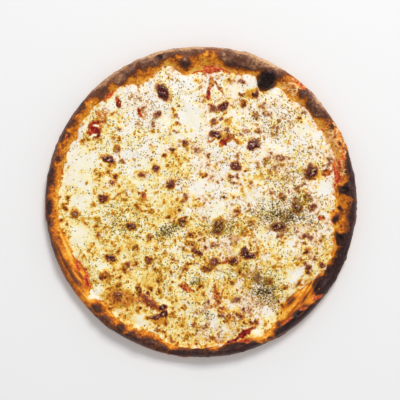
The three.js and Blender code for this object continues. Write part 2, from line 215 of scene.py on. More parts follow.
# Smooth amber to yellow stretches: middle, length, width, turn in degrees, browning
AMBER_PATCHES = [
    (-79, -95, 34, 18, -12, 0.5), (-50, -78, 20, 15, 0, 0.31), (118, 25.5, 9, 7, 0, 0.34),
    (-4, 120, 9, 5, -5, 0.38), (38.5, 58.5, 8, 5, 0, 0.42), (47, -83, 9, 9, 0, 0.4),
    (28, 79, 5, 8, 0, 0.42), (50, 108, 14, 10, 20, 0.45), (-88, 36, 9, 6, 0, 0.4),
    (-29.5, -10, 11, 10, 0, 0.36), (55, 24, 7, 6, 0, 0.36), (94, -61.5, 11, 3.5, 0, 0.42),
    (-41, -119, 18, 5, 5, 0.48), (-35, -66, 8, 5, 0, 0.42),
]
# Sauce that shows through the cheese: middle, length, width, turn in degrees, redness
RED_PATCHES = [
    (-105.5, 72, 14, 18, 0, 1.2), (-95, 83, 15, 5, 75, 0.6), (-102, 87, 12, 4, 110, 0.5),
    (-82, 99, 12, 4, 100, 1.0), (7.5, 108, 14, 4.5, 80, 1.0), (10, 119, 16, 6, 85, 0.55),
    (18, 114, 20, 4, -55, 0.5), (8, 131, 22, 5, 0, 0.9), (124.5, 29, 10, 9, 0, 0.65),
    (120, -16, 8, 6, 0, 0.8), (24, 60, 11, 9, 40, 1.0), (31, 63, 12, 4, -30, 0.7),
    (10, 61, 10, 4, 20, 0.5), (24, -59.5, 14, 5, 5, 0.9), (13, -60, 12, 9, 60, 0.5),
    (-15, -85, 17, 6, -20, 0.75), (44, -130, 16, 5, 36, 1.5), (53, -122, 15, 6, 50, 0.56),
    (31, -138, 20, 3.5, 30, 1.3), (-51, -100, 28, 9, -37, 0.72), (-60, 88, 13, 3, -60, 0.85),
    (-57, 6.5, 9, 6, -50, 0.75), (-97, 86, 22, 12, 70, 0.35), (10, 95, 9, 5, -30, 0.6),
    (-25, 70.5, 9, 2.6, -20, 0.7), (15, -93, 22, 5.5, -76, 0.66), (20, -106, 10, 4, -60, 0.6),
    (12.5, -103, 9, 3.5, 45, 0.5), (20, -94, 16, 3.6, 73, 0.54), (-26.5, -58, 10, 3, -15, 0.5),
    (-80, -95, 30, 13, -12, 0.42), (-63, -98, 14, 8, -15, 0.4),
]
# Strings and a flap of cheese beside the sauce: middle, length, width, turn in degrees
PALE_STRINGS = [
    (-103.5, 75.5, 9, 3, -25), (-106.5, 66.5, 10, 3.4, 35), (30, 57, 9, 4, -20), (-118, 74, 20, 8, 77),
]
PALE_STRING_RISE = 0.8
# Broad stretches of another tone: middle, size, how much browner, how much yellower
BROAD_TONES = [
    (8, 24, 80, -0.06, -0.4), (28, -24, 48, 0.05, 0.0), (-60, -14, 60, 0.06, 0.4),
    (-16, -62, 46, -0.05, -0.2), (28, 102, 56, 0.09, 0.1), (-84, 50, 56, -0.06, -0.1),
    (22, -122, 70, -0.03, -0.6), (106, -38, 46, 0.03, -0.2), (50, -76, 32, 0.05, -0.15),
    (88, -10, 56, 0.0, -0.3), (56, -98, 46, -0.08, -0.65), (-56, 97, 50, 0.0, -0.75),
    (22, -40, 30, 0.0, -0.35), (-34, -60, 44, -0.03, 0.1), (-70, 66, 50, -0.04, 0.0),
    (-22, 39, 32, 0.11, 0.7), (-74, 42, 36, -0.09, 0.0), (0, -85, 36, 0.0, 0.3),
    (0, 112, 36, 0.08, 0.0), (-97, 56, 30, 0.0, 0.25), (62, 62, 60, 0.0, -0.2), (0, 46, 30, 0.0, -0.35),
    (0, 12, 24, 0.0, -0.3), (-103, -92, 20, -0.08, -0.8),
]
# Smooth pale cheese with few spots: middle, size
CALM_PATCHES = [
    (-10, 84, 26), (-10, 119, 20), (-122, 42, 38), (-122, 18, 34), (-119, 0, 22), (-119, -32, 24),
    (93, -72, 17), (-5, 14, 16), (18, 114, 18), (32, 110, 14), (50, 118, 16), (74, 112, 14),
    (116, 66, 28), (121, 15, 16), (100, 72, 18), (-60, -115, 20), (-105, -89, 16), (68, -110, 16),
    (88, -43, 16), (15, -11, 18), (52, -62, 14), (-88, 100, 16), (56, -126, 14), (-110, 46, 12),
    (-95, -65, 12), (-48, 63, 12), (62, -36, 12),
]
# Thick drifts of oregano: middle, length, width, turn in degrees, thickness
HERB_DRIFTS = [
    (78, -14, 84, 30, -8, 1.4), (62, -80, 48, 36, -40, 1.0), (64, -92, 42, 27, -45, 1.5),
    (-34, -29, 35, 18, 26, 1.9), (97, 0, 28, 24, 0, 1.2), (84, -14, 40, 14, -4, 1.0),
    (-4.5, -78, 15, 9, 25, 2.0), (5, -111, 18, 11, -20, 1.9), (-78, -18, 66, 40, 0, 0.5),
    (22, -24, 58, 26, 0, 0.7), (15, -27, 32, 18, 5, 1.2), (72, 80, 64, 36, 0, 0.35),
    (-55, 96, 56, 38, 0, 0.2), (88, 29, 56, 34, 0, 0.55), (-30, -61, 74, 40, 0, 0.25),
    (36, -68, 46, 30, 0, 0.6), (-70, 62, 40, 24, 30, 0.1),
]

# Edges of marks, in shares of the way from middle to outline: where a mark is full and where it ends
BURNT_EDGE = (0.5, 1.3)
RIM_SPOT_EDGE = (0.3, 1.5)
RIM_SMEAR_EDGE = (0.2, 1.3)
CHAR_EDGE = (0.45, 1.3)
CORE_EDGE = (0.2, 0.8)
RING_EDGE = (0.8, 1.7)
SCORCH_EDGE = (0.1, 1.5)
GOLDEN_EDGE = (0.5, 1.4)
AMBER_EDGE = (0.6, 1.4)
RED_EDGE = (0.5, 1.5)
PALE_STRING_EDGE = (0.5, 1.4)
TONE_EDGE = (0.3, 1.3)
CALM_EDGE = (0.5, 1.1)
DRIFT_EDGE = (0.1, 1.3)
SPOT_EDGE = (0.3, 1.2)
SPOT_HALO_EDGE = (0.6, 2.7)

# Uneven fields: size of the lumps, strength, seed
LUMP_TILE = 64
SKIN_GRAIN = [(1.7, 0.16, 23)]
BURNT_SKIN = [(2.6, 0.7, 25)]
RIM_WANDER = [(11, 1.5, 39), (5, 1.3, 31), (2.4, 0.5, 32)]
RIM_TURN = [(7, 3, 37), (2.8, 0.6, 38)]
RIM_MARK_SHIFT = [(3.5, 1.2, 33)]
RIM_BLOTCHES = [(8, 1, 34), (3.5, 0.6, 35)]
WALL_LUMPS = [(11, 0.12, 36)]
SAUCE_RIPPLE = [(5, 0.8, 41)]
SAUCE_PULP = [(3, 0.25, 42)]
SPOT_CROWDS = [(22, 0.1, 51)]
CHEESE_SHIFT_X = [(4.5, 1.4, 61), (1.9, 0.8, 62)]
CHEESE_SHIFT_Y = [(4.5, 1.4, 63), (1.9, 0.8, 64)]
CALM_SHIFT_X = [(9, 3, 69)]
CALM_SHIFT_Y = [(9, 3, 70)]
CALM_GAPS = [(5, 1, 76)]
CALM_GAP_LEVELS = (-0.9, -0.1)
BUTTER_LUMPS = [(14, 0.1, 66), (6, 0.07, 67)]
MELLOW_LUMPS = [(9, 0.4, 77), (3.4, 0.6, 78)]
HERB_LUMPS = [(13, 0.8, 65), (5, 0.7, 68)]
DRIFT_LUMPS = [(6, 0.5, 79)]
SCORCH_LUMPS = [(2.4, 0.3, 80)]
EDGE_LUMPS = [(4, 0.8, 71)]
MELT_LUMPS = [(12, 0.55, 72), (5.5, 0.45, 73), (2.4, 0.22, 74)]
DOME_LUMPS = [(2.2, 0.25, 75)]
# Knobs on the baked skin: size, height, seed, level at which a knob starts to rise
SKIN_KNOBS = [(7, 0.9, 21, 0.1), (3.6, 0.5, 22, 0.2)]
KNOB_TOP = 0.9
# Strings of cheese on the slope: lumps and slant in a degree, width, height, and how they smooth the skin
STRINGS_PER_DEGREE = 0.17
STRING_SLANT = 0.25
STRING_WIDTH = 1.7
STRING_RISE = 0.5
STRING_SEED = 24
STRINGS_SMOOTHER = 0.7
STRINGS_CLEANER = 0.8

# Heights between which relief and marks fade in on the rim
RELIEF_ABOVE = (0.5, 5)
MARKS_ABOVE = (1, 4)
RED_ABOVE = (5, 9)
FLECKED_ABOVE = (6, 10)
PALE_ABOVE = (5, 12)
WALL_FADE = (0.3 * RIM_HEIGHT, 0.85 * RIM_HEIGHT)
UNDERSIDE_FADE = (0.3, 0.5 * RIM_HEIGHT)
# Distances in from the cheese's edge over which its swells, relief and toasted edge fade
SWELL_INSIDE = (2, 15)
RELIEF_INSIDE = (0, 4)
TOAST_INSIDE = (-1, 2.5)
TOAST_WANDER = 2.5
# How much lower the melted relief is in smooth cheese, and how much browned cheese stands up
CALM_LOWER = 0.55
BROWNED_RISE = 0.45
# Share of the rim's wander that shifts its marks, its pale edge and the foot of its pale shoulder
MARK_WANDER = 0.7
PALE_EDGE_WANDER = 0.5
PALE_FOOT_WANDER = 1.5
# Distances over which tones of the rim fade: in from the outline, or out from the cheese for the glow
PALE_EDGE_REACH = (0.5, 5)
BLOTCH_REACH = (5, 14)
PALE_REACH = (12, 18)
GLOW_REACH = (-1, 9)
BLOTCH_LEVELS = (0.05, 0.9)

# Toasting levels, from 0, pale, to 1, darkest
CREST_TOAST = 0.36
SLOPE_PALER = 0.24
CHAR_TOAST = 0.72
# Extra darkness along the darkest stretch is painted shade on the side of the rim away from the light
DARKEST_DEEPER = 0.09
BURNT_TOAST = 1.0
BLOTCH_DEEPER = 0.26
WALL_TOAST = 0.34
WALL_BLOTCH_DEEPER = 0.2
CHEESE_TOAST = 0.07
WARM_SIDE = 0.15
CALM_PALER = 0.12
EDGE_TOAST = 0.4
RING_TOAST = 0.4
RING_DEEPER = 0.2
SCORCH_DEEPER = 0.2
BURNT_CHAR = 0.7
# How much pale strings hide browning, and how smooth amber cheese and crowded oregano are
STRINGS_PALER = 0.9
AMBER_CALM = 0.6
CROWDED_CALM = 0.7
# Paleness of the rim's shoulder, partly flour and partly painted sheen: over char, at the outline, and the
# most of it
PALE_CHAR = 0.45
PALE_EDGE = 0.35
PALE_MOST = 1.5
# Warmth and yellowness of the cheese in its middle, and how they tilt across and up
WARMTH = 0.5
WARM_TILT = (1 / 14, -9 / 14)
MELLOW = 0.65
MELLOW_TILT = (-0.35, -0.35)

# Small uneven browned spots in the cheese: their least size and how much larger a few of them get
SPOT_COUNT = 1600
SPOT_SEED = 4
SPOT_SIZE = 1.0
SPOT_LARGER = 1.7
# Their darkness, its range, its share in a soft halo, and how much it falls towards the top
SPOT_DEPTH = 0.14
SPOT_DEPTHS = (0.4, 1.6)
SPOT_HALO = 0.32
SPOT_FADE = 0.05
SPOT_DEEPER = 0.9
# Their outline: lobes and swing of its waves
SPOT_LOBES = [(2, 0.3), (3, 0.2)]
SPOT_SPAN = 3.4
CANVAS_CELL = 0.5
# How many of them smooth cheese leaves out, and how much smooth cheese and oregano hide of the rest
SPOTS_RARER = 0.9
SPOTS_HIDDEN = 0.6
# Small toasted spots in the cheese's colour: spacing, least and most radius, least and most darkness
TOASTED_SPOTS = [(6.5, 0.3, 2.6, 0.1, 0.5), (3.4, 0.2, 1.3, 0.06, 0.34)]

# Oregano: flakes on a square metre at a thickness of 1, length, proportions, sizes, tilt in radians
FLAKES_PER_SQUARE_METRE = 760000
FLAKE_LENGTH = 2.1
FLAKE_FORM = (1.0, 0.62, 0.3)
FLAKE_SIZES = (0.4, 1.3)
LARGE_FLAKES_RARER = 1.6
FLAKE_TILT = 0.4
FLAKE_CRUMBLE = 0.7
FLAKE_SHADES = (0.32, 1.1)
DRIFT_DARKER = 0.18
FLAKE_SEED = 7
HERB_GROUND = 0.2
HERB_STAIN = 0.035
HERB_LIMITS = (0.02, 3.2)
HERB_STAIN_MOST = 2
HERBS_CROWDED = (0.4, 1.4)
# How much smooth cheese, char and sauce keep oregano off
HERBS_OFF_CALM = 0.85
HERBS_OFF_CHAR = 0.8
HERBS_OFF_RED = 0.9

# Grain of the finishes: size of the pattern, detail, roughness
DOUGH_GRAIN = [(7, 2.0, 0.5), (2.4, 4.0, 0.65), (1.1, 3.0, 0.5), (3.2, 3.0, 0.5)]
CHEESE_GRAIN = [(4, 2.0, 0.5), (2, 4.0, 0.65), (0.9, 2.0, 0.5), (2.8, 2.0, 0.5)]
SAUCE_GRAIN = 2.2
STIRRED_GRAIN = 2.5
STIRRED_SHIFT = 2.2

# Light and floor
ROOM_LIGHT = 0.55
KEY_DIRECTION = (0.25, 0.75, 0.95)
KEY_DISTANCE = 3.0
KEY_SIDE = 0.9
KEY_POWER = 55
FLOOR_REACH = 3000
FLOOR_DROP = 1

# View of the photograph: pizza's middle and radius in a frame of 400 pixels
PHOTO_SIDE = 400
PHOTO_MIDDLE = (201, 202)
PHOTO_RADIUS = 156
LENS = 100
SENSOR = 36


def linear(hex_colour):
    """Linear colour with alpha from an sRGB hex value."""
    channels = [int(hex_colour[i:i + 2], 16) / 255 for i in (1, 3, 5)]
    return tuple(c / 12.92 if c <= 0.04045 else ((c + 0.055) / 1.055) ** 2.4 for c in channels) + (1,)


def ease(value, low, high):
    """Smooth step from 0 at low to 1 at high."""
    share = np.clip((value - low) / (high - low), 0, 1)
    return share * share * (3 - 2 * share)


def fade(value, full, none):
    """Smooth step from 1 at full to 0 at none."""
    return 1 - ease(value, full, none)


def apart(degrees, at):
    """Turn between two angles, from -180 to 180 degrees."""
    return (degrees - at + 180) % 360 - 180


def bell(degrees, at, half):
    """Soft bump round an angle."""
    return np.exp(-(apart(degrees, at) / half) ** 2)


def plateau(degrees, at, half):
    """Flat-topped bump round an angle."""
    return 1 / (1 + (apart(degrees, at) / half) ** 4)


def stretched(degrees, stretches):
    """Flat-topped bumps round all the stretches."""
    return sum(plateau(degrees, at, half) for at, half in stretches)


def lumps(points, size, seed):
    """Smooth random field from -1 to 1 over points in millimetres, with lumps of the given size."""
    grid = np.random.default_rng(seed).uniform(-1, 1, (LUMP_TILE,) * 3)
    cell = points / size
    base = np.floor(cell).astype(int)
    part = ease(cell - base, 0, 1)
    total = np.zeros(points.shape[:-1])
    for corner in np.ndindex(2, 2, 2):
        weight = np.prod(np.where(corner, part, 1 - part), axis=-1)
        i, j, k = np.moveaxis((base + corner) % LUMP_TILE, -1, 0)
        total += weight * grid[i, j, k]
    return total


def uneven(points, layers):
    """Sum of lumpy fields, one for each layer."""
    return sum(strength * lumps(points, size, seed) for size, strength, seed in layers)


def patch(x, y, middle_x, middle_y, length, width=None, turn=0):
    """Distance from the middle of an oval patch, or of a round one if it has one size: 1 on its outline."""
    angle = math.radians(turn)
    along = (x - middle_x) * math.cos(angle) + (y - middle_y) * math.sin(angle)
    across = (y - middle_y) * math.cos(angle) - (x - middle_x) * math.sin(angle)
    return np.hypot(along / (length / 2), across / ((width or length) / 2))


def rim_patch(x, y, at, radius, length, width, turn=0):
    """The same for a patch that lies along the rim."""
    angle = math.radians(at)
    return patch(x, y, radius * math.cos(angle), radius * math.sin(angle), length, width, at + 90 + turn)


# Shapes of the dough and of the cheese's edge, as in the solids

def small_bubbles():
    """Uneven small bubbles, as rows like those of the large ones."""
    for i in range(SMALL_BUBBLE_COUNT):
        shift, *sizes = [middle + swing * math.sin(pace * i) for middle, swing, pace in SMALL_BUBBLES]
        yield (i * 360 / SMALL_BUBBLE_COUNT + shift, *sizes)


def cheese_edge(degrees):
    return CHEESE_RADIUS - sum(depth * bell(degrees, *bay) for *bay, depth in EDGE_BAYS)


def outline_radius(degrees):
    dips = sum(1 - np.cos(np.radians(lobes * degrees)) for lobes in OUTLINE_LOBES)
    return PIZZA_RADIUS - OUTLINE_DIP / 4 * dips


def crest_height(degrees):
    waves = sum(height * np.sin(np.radians(lobes * degrees) + turn) for lobes, height, turn in CREST_WAVES)
    drops = sum(drop * bell(degrees, *stretch) for *stretch, drop in LOW_STRETCHES)
    return RIM_HEIGHT + waves - drops


def bubble_height(radius, degrees):
    total = np.zeros(np.broadcast(radius, degrees).shape)
    for at, middle, across, along, height in [*RIM_BUBBLES, *small_bubbles()]:
        aside = radius * np.radians(apart(degrees, at)) / along
        inside = np.clip(1 - aside ** 2 - ((radius - middle) / across) ** 2, 0, None)
        total += height * inside ** BUBBLE_ROUNDNESS
    return total


def dough_height(radius, degrees):
    crest = outline_radius(degrees) - CREST_INSET
    rise = ease(radius, cheese_edge(degrees) - CHEESE_CLIMB, crest) * (crest_height(degrees) - BED_HEIGHT)
    return BED_HEIGHT + rise + bubble_height(radius, degrees)


# Meshes

def make_piece(name, points, faces, fields, material):
    """Mesh object from points in millimetres, with a float attribute for each painted field."""
    mesh = bpy.data.meshes.new(name)
    mesh.from_pydata((points * MM).tolist(), [], faces)
    for field, values in fields.items():
        mesh.attributes.new(field, "FLOAT", "POINT").data.foreach_set("value", values.astype(np.float32))
    mesh.shade_smooth()
    mesh.materials.append(material)
    piece = bpy.data.objects.new(name, mesh)
    bpy.context.collection.objects.link(piece)
    return piece


def closed_rings(rings):
    """Points and faces of a closed skin over rings that run from the underside's middle to the top's."""
    rows, steps = rings.shape[:2]
    row, step = np.meshgrid(np.arange(rows - 1), np.arange(steps), indexing="ij")
    here = row * steps + step
    beside = row * steps + (step + 1) % steps
    faces = np.stack([here, beside, beside + steps, here + steps], -1).reshape(-1, 4).tolist()
    bottom, top = rows * steps, rows * steps + 1
    last = (rows - 1) * steps
    for s in range(steps):
        faces.append([bottom, (s + 1) % steps, s])
        faces.append([top, last + s, last + (s + 1) % steps])
    points = np.concatenate([rings.reshape(-1, 3), [rings[0].mean(0)], [rings[-1].mean(0)]])
    return points, faces


def with_middles(field):
    """A ring field as one list, with values for the two middle points."""
    return np.concatenate([field.ravel(), [field[0].mean()], [field[-1].mean()]])


def through(knots, rows):
    """Rows of points on a smooth curve through all knots but the first and last."""
    curve = []
    for before, start, end, after in zip(knots, knots[1:], knots[2:], knots[3:]):
        for s in np.arange(rows) / rows:
            curve.append(0.5 * (
                2 * start + (end - before) * s
                + (2 * before - 5 * start + 4 * end - after) * s ** 2
                + (3 * start - before - 3 * end + after) * s ** 3
            ))
    return curve


def spun(radius, height, degrees):
    """Ring points from radii and heights at angles."""
    angle = np.radians(degrees)
    level = np.broadcast_to(height, radius.shape)
    return np.stack([radius * np.cos(angle), radius * np.sin(angle), level], -1)


def relieved(rings, relief):
    """Ring points moved along their normals."""
    along = np.roll(rings, -1, 1) - np.roll(rings, 1, 1)
    onward = np.gradient(rings, axis=0)
    normal = np.cross(along, onward)
    normal /= np.linalg.norm(normal, axis=-1, keepdims=True) + 1e-9
    return rings + normal * relief[..., None]


def burnt_share(x, y):
    """How far each point lies inside a burnt spot of the rim."""
    return np.max([fade(rim_patch(x, y, *spot), *BURNT_EDGE) for spot in BURNT_SPOTS], axis=0)


def crust_section(degrees, outline):
    """Radius and height of rings from the underside over the rim to the bed, and how many are outside."""
    crest = outline - CREST_INSET
    shoulder = outline - CREST_INSET / 2
    foot = outline - FOOT_INSET
    inner = cheese_edge(degrees) - SLOPE_TUCK
    level = np.ones_like(outline)
    underside = [np.stack([share * foot, 0 * level]) for share in UNDERSIDE_SHARES]
    knots = [np.stack([outline - inset, RIM_HEIGHT * share * level]) for inset, share in WALL_SECTION]
    rounding = crest_height(degrees) - SHOULDER_DROP + bubble_height(shoulder, degrees)
    knots.append(np.stack([shoulder, rounding]))
    knots += [np.stack([radius, dough_height(radius, degrees)]) for radius in (crest, crest - PAST_CREST)]
    wall = through(knots, WALL_ROWS)
    slope = [crest + share * (inner - crest) for share in np.linspace(0, 1, SLOPE_ROWS)]
    bed = [share * inner for share in BED_SHARES]
    top = [np.stack([radius, dough_height(radius, degrees)]) for radius in slope + bed]
    return np.array(underside + wall + top), len(underside) + len(wall)


def cheese_strings(radius, degrees):
    """Ridges of pulled cheese, slanting along the stringy slopes."""
    along = np.broadcast_to(STRINGS_PER_DEGREE * degrees, radius.shape)
    across = (radius + STRING_SLANT * degrees) / STRING_WIDTH
    ridges = lumps(np.stack([along, across, np.zeros_like(radius)], -1), 1, STRING_SEED)
    return ridges * stretched(degrees, STRINGY_SLOPES)


def skin_relief(rings, degrees):
    """Height of the knobs on the baked skin, lower under the strings of cheese."""
    relief = sum(
        height * ease(lumps(rings, size, seed), start, KNOB_TOP) for size, height, seed, start in SKIN_KNOBS
    )
    relief = relief + uneven(rings, SKIN_GRAIN)
    relief = relief + burnt_share(rings[..., 0], rings[..., 1]) * uneven(rings, BURNT_SKIN)
    return relief * (1 - STRINGS_SMOOTHER * stretched(degrees, STRINGY_SLOPES))


def rim_char(x, y, turned, inward):
    """How charred the rim is, from its outline inwards."""
    reach = np.full_like(inward, CHAR_RING)
    for *stretch, depth in CHAR_PATCHES:
        reach = np.maximum(reach, depth * plateau(turned, *stretch))
    bare = stretched(turned, BARE_STRETCHES)
    reach = reach * np.clip(1 - bare, 0, 1) - BARE_SETBACK * bare
    char = fade(inward, reach - CHAR_SOFTNESS, reach + CHAR_SOFTNESS)
    for *stretch, missing in BROWN_STRETCHES:
        char = char * (1 - missing * plateau(turned, *stretch))
    for spot in RIM_SPOTS:
        char = np.maximum(char, fade(rim_patch(x, y, *spot), *RIM_SPOT_EDGE))
    return char


def crust_fields(rings, degrees, outline, outside):
    """How toasted the crust is, with painted shade deepening the char on the side away from the light, and
    where it is charred, pale with flour and painted sheen, flecked or smeared with sauce.
    """
    wander = uneven(rings, RIM_WANDER)
    x = rings[..., 0] + MARK_WANDER * wander
    y = rings[..., 1] + uneven(rings, RIM_MARK_SHIFT)
    height = rings[..., 2]
    radius = np.hypot(rings[..., 0], rings[..., 1])
    inward = outline - radius + wander
    above = ease(height, *MARKS_ABOVE)
    turned = degrees + np.degrees(uneven(rings, RIM_TURN) / PIZZA_RADIUS)
    char = rim_char(x, y, turned, inward)
    burnt = burnt_share(x, y) * above
    stringy = stretched(degrees, STRINGY_SLOPES)
    blotches = ease(uneven(rings, RIM_BLOTCHES), *BLOTCH_LEVELS) * fade(inward, *BLOTCH_REACH)
    blotches = blotches * (1 - STRINGS_CLEANER * stringy)
    glow = fade(radius - cheese_edge(degrees) + wander, *GLOW_REACH)
    toast = CREST_TOAST - SLOPE_PALER * glow + BLOTCH_DEEPER * blotches
    toast = toast + sum(browner * plateau(degrees, *stretch) for *stretch, browner in TONED_SLOPES)
    # Along the darkest stretch the char is deepened as painted shade, where the rim faces away from the
    # light
    charred = CHAR_TOAST + DARKEST_DEEPER * plateau(degrees, *DARKEST_STRETCH)
    toast = toast + (charred - toast) * char
    wall = WALL_TOAST + (WALL_BLOTCH_DEEPER * blotches + uneven(rings, WALL_LUMPS)) * above
    toast = np.where(outside, wall + (toast - wall) * ease(height, *WALL_FADE), toast)
    # The pale shoulder lies only along the top of the rim, which faces the light: partly flour and partly
    # painted sheen
    lit = np.minimum(stretched(degrees, PALE_SHOULDERS), PALE_MOST) * (1 - burnt)
    pale = PALE_CHAR * char * fade(inward, *PALE_REACH)
    pale = pale + PALE_EDGE * fade(outline - radius - PALE_EDGE_WANDER * wander, *PALE_EDGE_REACH)
    red = np.max([fade(rim_patch(x, y, *smear), *RIM_SMEAR_EDGE) for smear in RIM_SMEARS], axis=0)
    red = red * (1 + DEEP_SMEAR * stretched(degrees, DEEP_SMEARS))
    char = np.maximum(char, BURNT_CHAR * burnt)
    flecked = np.clip(stretched(turned, FLECKED_SLOPES) * (1 - char) ** 2, 0, 1)
    return {
        "toast": np.maximum(toast, BURNT_TOAST * burnt),
        "flecked": flecked * ease(height, *FLECKED_ABOVE),
        "char": char * above,
        "pale": lit * pale * ease(height + PALE_FOOT_WANDER * wander, *PALE_ABOVE),
        "red": red * ease(height, *RED_ABOVE),
        "stringy": stringy * above,
        "underside": fade(height, *UNDERSIDE_FADE),
    }


def crust_piece(material):
    """Closed dough crust with its rim, knobs and strings of cheese."""
    degrees = np.arange(CRUST_STEPS) * 360 / CRUST_STEPS
    outline = outline_radius(degrees)
    section, outer_rows = crust_section(degrees, outline)
    outside = np.arange(len(section))[:, None] < outer_rows
    rings = spun(section[:, 0], section[:, 1], degrees)
    strings = cheese_strings(section[:, 0], degrees) * ~outside
    relief = skin_relief(rings, degrees) + STRING_RISE * strings
    rings = relieved(rings, relief * ease(rings[..., 2], *RELIEF_ABOVE))
    fields = crust_fields(rings, degrees, outline, outside)
    fields["strings"] = strings
    points, faces = closed_rings(rings)
    fields = {name: with_middles(np.broadcast_to(field, strings.shape)) for name, field in fields.items()}
    return make_piece("baked_crust", points, faces, fields, material)


def sauce_piece(material):
    """Thin layer of sauce on the bed, which climbs the slope in smears."""
    degrees = np.arange(SAUCE_STEPS) * 360 / SAUCE_STEPS
    edge = cheese_edge(degrees)
    crest = outline_radius(degrees) - CREST_INSET
    climb = np.full_like(degrees, SAUCE_LEAST)
    for *stretch, most in SAUCE_SMEARS:
        climb = np.maximum(climb, most * bell(degrees, *stretch))
    end = edge + climb * SAUCE_HIGHEST * (crest - edge)
    end = end + uneven(spun(end, 0, degrees), SAUCE_RIPPLE) * climb
    start = edge - CHEESE_CLIMB
    radii = [share * start for share in SAUCE_SHARES]
    radii += [start + share * (end - start) for share in np.linspace(0, 1, SAUCE_ROWS)]
    radii = np.array(radii)
    under = dough_height(radii, degrees) + SAUCE_GAP
    taper = np.sqrt(np.clip((end - radii) / SAUCE_TAPER, 0, 1))
    thickness = SAUCE_THICKNESS + uneven(spun(radii, 0, degrees), SAUCE_PULP)
    over = under + LAYER_GAP + thickness * taper
    rings = np.concatenate([spun(radii, under, degrees), spun(radii, over, degrees)[::-1]])
    points, faces = closed_rings(rings)
    return make_piece("tomato_sauce", points, faces, {}, material)


def disc_grid(side):
    """Even grid over a disc of radius 1, as x and y."""
    a, b = np.meshgrid(np.linspace(-1, 1, side), np.linspace(-1, 1, side), indexing="ij")
    wide = np.abs(a) >= np.abs(b)
    reach = np.where(wide, a, b)
    ratio = np.divide(np.where(wide, b, a), reach, out=np.zeros_like(a), where=reach != 0)
    angle = np.where(wide, math.pi / 4 * ratio, math.pi / 2 - math.pi / 4 * ratio)
    return reach * np.cos(angle), reach * np.sin(angle)


def grid_faces(index):
    """Faces between neighbours in a square grid of point numbers."""
    corners = [index[:-1, :-1], index[1:, :-1], index[1:, 1:], index[:-1, 1:]]
    return np.stack(corners, -1).reshape(-1, 4).tolist()


def calmness(x, y):
    """How far each point lies in smooth pale cheese."""
    return np.max([fade(patch(x, y, *disc), *CALM_EDGE) for disc in CALM_PATCHES], axis=0)


def spotted(x, y):
    """Browning by many small uneven spots, drawn on a canvas, with few on the smooth pale cheese."""
    draw = np.random.default_rng(SPOT_SEED)
    cells = int(2 * PIZZA_RADIUS / CANVAS_CELL)
    canvas = np.zeros((cells, cells))
    places = draw.uniform(-CHEESE_RADIUS, CHEESE_RADIUS, (SPOT_COUNT, 2))
    crowd = uneven(np.column_stack([places, np.zeros(SPOT_COUNT)]), SPOT_CROWDS)
    sizes = SPOT_SIZE + SPOT_LARGER * draw.random(SPOT_COUNT) ** 3
    depths = SPOT_DEPTH + SPOT_DEPTH * sizes * draw.uniform(*SPOT_DEPTHS, SPOT_COUNT) + crowd
    depths = depths - SPOT_FADE * places[:, 1] / CHEESE_RADIUS
    phases = draw.uniform(0, 2 * math.pi, (SPOT_COUNT, 2))
    keep = draw.random(SPOT_COUNT) > SPOTS_RARER * calmness(places[:, 0], places[:, 1])
    for place, size, depth, phase in zip(places[keep], sizes[keep], depths[keep], phases[keep]):
        span = int(SPOT_SPAN * size / CANVAS_CELL) + 2
        column, row = ((place + PIZZA_RADIUS) / CANVAS_CELL).astype(int)
        window = np.s_[column - span:column + span, row - span:row + span]
        i, j = np.ogrid[window]
        dx = i * CANVAS_CELL - PIZZA_RADIUS - place[0]
        dy = j * CANVAS_CELL - PIZZA_RADIUS - place[1]
        turn = np.arctan2(dy, dx)
        waves = sum(swing * np.sin(lobes * turn + p) for (lobes, swing), p in zip(SPOT_LOBES, phase))
        outline = size * (1 + waves)
        away = np.hypot(dx, dy) / outline
        mark = depth * ((1 - SPOT_HALO) * fade(away, *SPOT_EDGE) + SPOT_HALO * fade(away, *SPOT_HALO_EDGE))
        canvas[window] = np.maximum(canvas[window], mark)
    u = np.clip((x + PIZZA_RADIUS) / CANVAS_CELL, 0, cells - 2)
    v = np.clip((y + PIZZA_RADIUS) / CANVAS_CELL, 0, cells - 2)
    i, j = u.astype(int), v.astype(int)
    along, up = u - i, v - j
    low = canvas[i, j] * (1 - along) + canvas[i + 1, j] * along
    high = canvas[i, j + 1] * (1 - along) + canvas[i + 1, j + 1] * along
    return low * (1 - up) + high * up


def cheese_tones(flat, x, y, calm):
    """Browning and yellowness of the sheet before its marks."""
    place = flat[..., :2] / CHEESE_RADIUS
    warm = WARMTH + place @ WARM_TILT
    browning = CHEESE_TOAST + WARM_SIDE * warm + uneven(flat, BUTTER_LUMPS) - CALM_PALER * calm
    mellow = MELLOW + place @ MELLOW_TILT + uneven(flat, MELLOW_LUMPS)
    for *disc, browner, yellower in BROAD_TONES:
        share = fade(patch(x, y, *disc), *TONE_EDGE)
        browning = browning + browner * share
        mellow = mellow + yellower * share
    return browning, mellow


def herb_thickness(flat, x, y):
    """How thickly oregano fell on the sheet."""
    herbs = HERB_GROUND * (1 + uneven(flat, HERB_LUMPS))
    patchy = 1 + uneven(flat, DRIFT_LUMPS)
    for *oval, thickness in HERB_DRIFTS:
        herbs = herbs + thickness * fade(patch(x, y, *oval), *DRIFT_EDGE) * patchy
    return herbs


def blister_marks(x, y):
    """Char, its core, the browned ring and the height of the charred blisters."""
    char, core, ring, dome = np.zeros((4, *x.shape))
    roundness, hollow, hollow_width = CUP
    for *oval, darkness in BLISTERS:
        away = patch(x, y, *oval)
        width = oval[3]
        cup = np.clip(1 - away ** 2, 0, None) ** roundness - hollow * np.exp(-(away / hollow_width) ** 2)
        char = np.maximum(char, darkness * fade(away, *CHAR_EDGE))
        core = np.maximum(core, darkness * fade(away, *CORE_EDGE))
        ring = np.maximum(ring, (RING_TOAST + RING_DEEPER * darkness) * fade(away, *RING_EDGE))
        dome = np.maximum(dome, width * BLISTER_RISE * cup)
    return char, core, ring, dome


